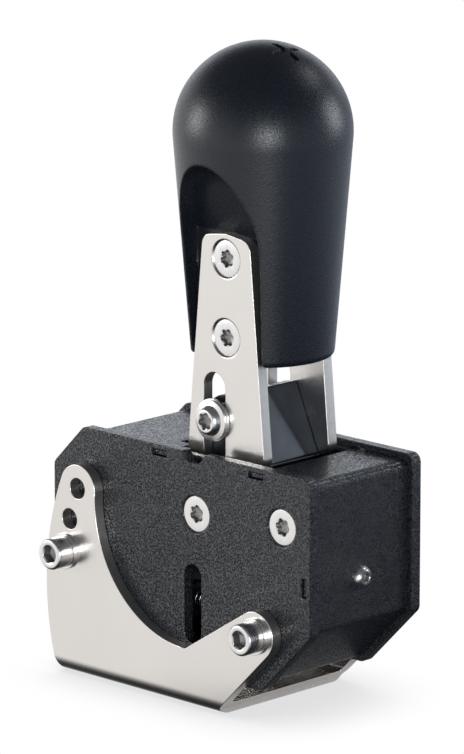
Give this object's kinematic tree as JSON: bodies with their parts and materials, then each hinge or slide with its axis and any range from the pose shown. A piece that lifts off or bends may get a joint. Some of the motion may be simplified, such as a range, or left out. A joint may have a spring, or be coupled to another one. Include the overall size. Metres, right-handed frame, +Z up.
{
  "type": "sequential gear shifter",
  "caption": "Desk or rig mounted sequential shifter: a bulb knob on a sprung lever with adjustable height, in a black housing held by a folded U bracket.",
  "frame": {"origin": "where the knob's axis at rest meets the underside of the bracket's base", "axes": "+X the way the lever is pushed away from the index holes, +Y across the housing, +Z up the knob"},
  "size_m": [0.1131, 0.072, 0.2084],
  "materials": {
    "stainless_sheet": "satin, brushed, slightly warm",
    "bright_hardware": "bright turned and cold formed steel",
    "black_powder_coat": "fine wrinkle powder coat",
    "black_anodised": "satin black anodised",
    "soft_touch_black": "soft touch, matt, slightly blue",
    "plain_aluminium": "milled",
    "bronze": "sintered bearing bronze",
    "gold_contact": "gold plated",
    "spring_steel": "bright drawn wire",
    "black_rubber": "moulded rubber",
    "black_plastic": "moulded nylon",
    "board_green": "solder mask",
    "magnet_nickel": "nickel plated"
  },
  "bodies": {
    "housing": {"bracket": "stainless_sheet", "bracket_washers": "bright_hardware", "tilt_pivot_screws": "bright_hardware", "tilt_index_screws": "bright_hardware", "side_plate_front": "black_powder_coat", "side_plate_rear": "black_powder_coat", "housing_shell": "black_powder_coat", "bottom_cover": "black_powder_coat", "plate_screws": "bright_hardware", "spacer_post": "plain_aluminium", "index_bar": "plain_aluminium", "end_block_right": "black_anodised", "end_block_left": "black_anodised", "cover_screw": "bright_hardware", "cover_spacer": "plain_aluminium", "pivot_axle": "bright_hardware", "pivot_spacers": "black_plastic", "centring_spring_right": "spring_steel", "centring_spring_left": "spring_steel", "spring_cups": "black_plastic", "stop_bumpers": "black_rubber", "sensor_board": "board_green", "sensor_board_screws": "bright_hardware", "board_pads": "plain_aluminium", "main_board": "board_green", "main_board_spacers": "bronze", "main_board_screws": "bright_hardware", "data_socket": "black_plastic", "socket_contacts": "gold_contact"},
    "lever": {"lever_arm": "black_anodised", "pivot_bushes": "bronze", "clamp_screws": "bright_hardware", "clamp_washers": "bright_hardware", "slot_bushes": "bright_hardware", "sensor_magnet": "magnet_nickel"},
    "grip": {"lever_plate_front": "stainless_sheet", "lever_plate_rear": "stainless_sheet", "knob": "soft_touch_black", "knob_core": "plain_aluminium", "knob_screws": "bright_hardware"}
  },
  "joints": [
    {"name": "lever_shift", "type": "hinge", "parent": "housing", "child": "lever", "pos_m": [-0.0049, 0, 0.0617], "axis": [0, 1, 0], "range_deg": [-7, 7], "stiffness_Nm_per_rad": 14, "deforming": ["centring_spring_right", "centring_spring_left"]},
    {"name": "lever_height", "type": "slide", "parent": "lever", "child": "grip", "axis": [0, 0, 1], "range_m": [-0.01, 0.01]}
  ]
}
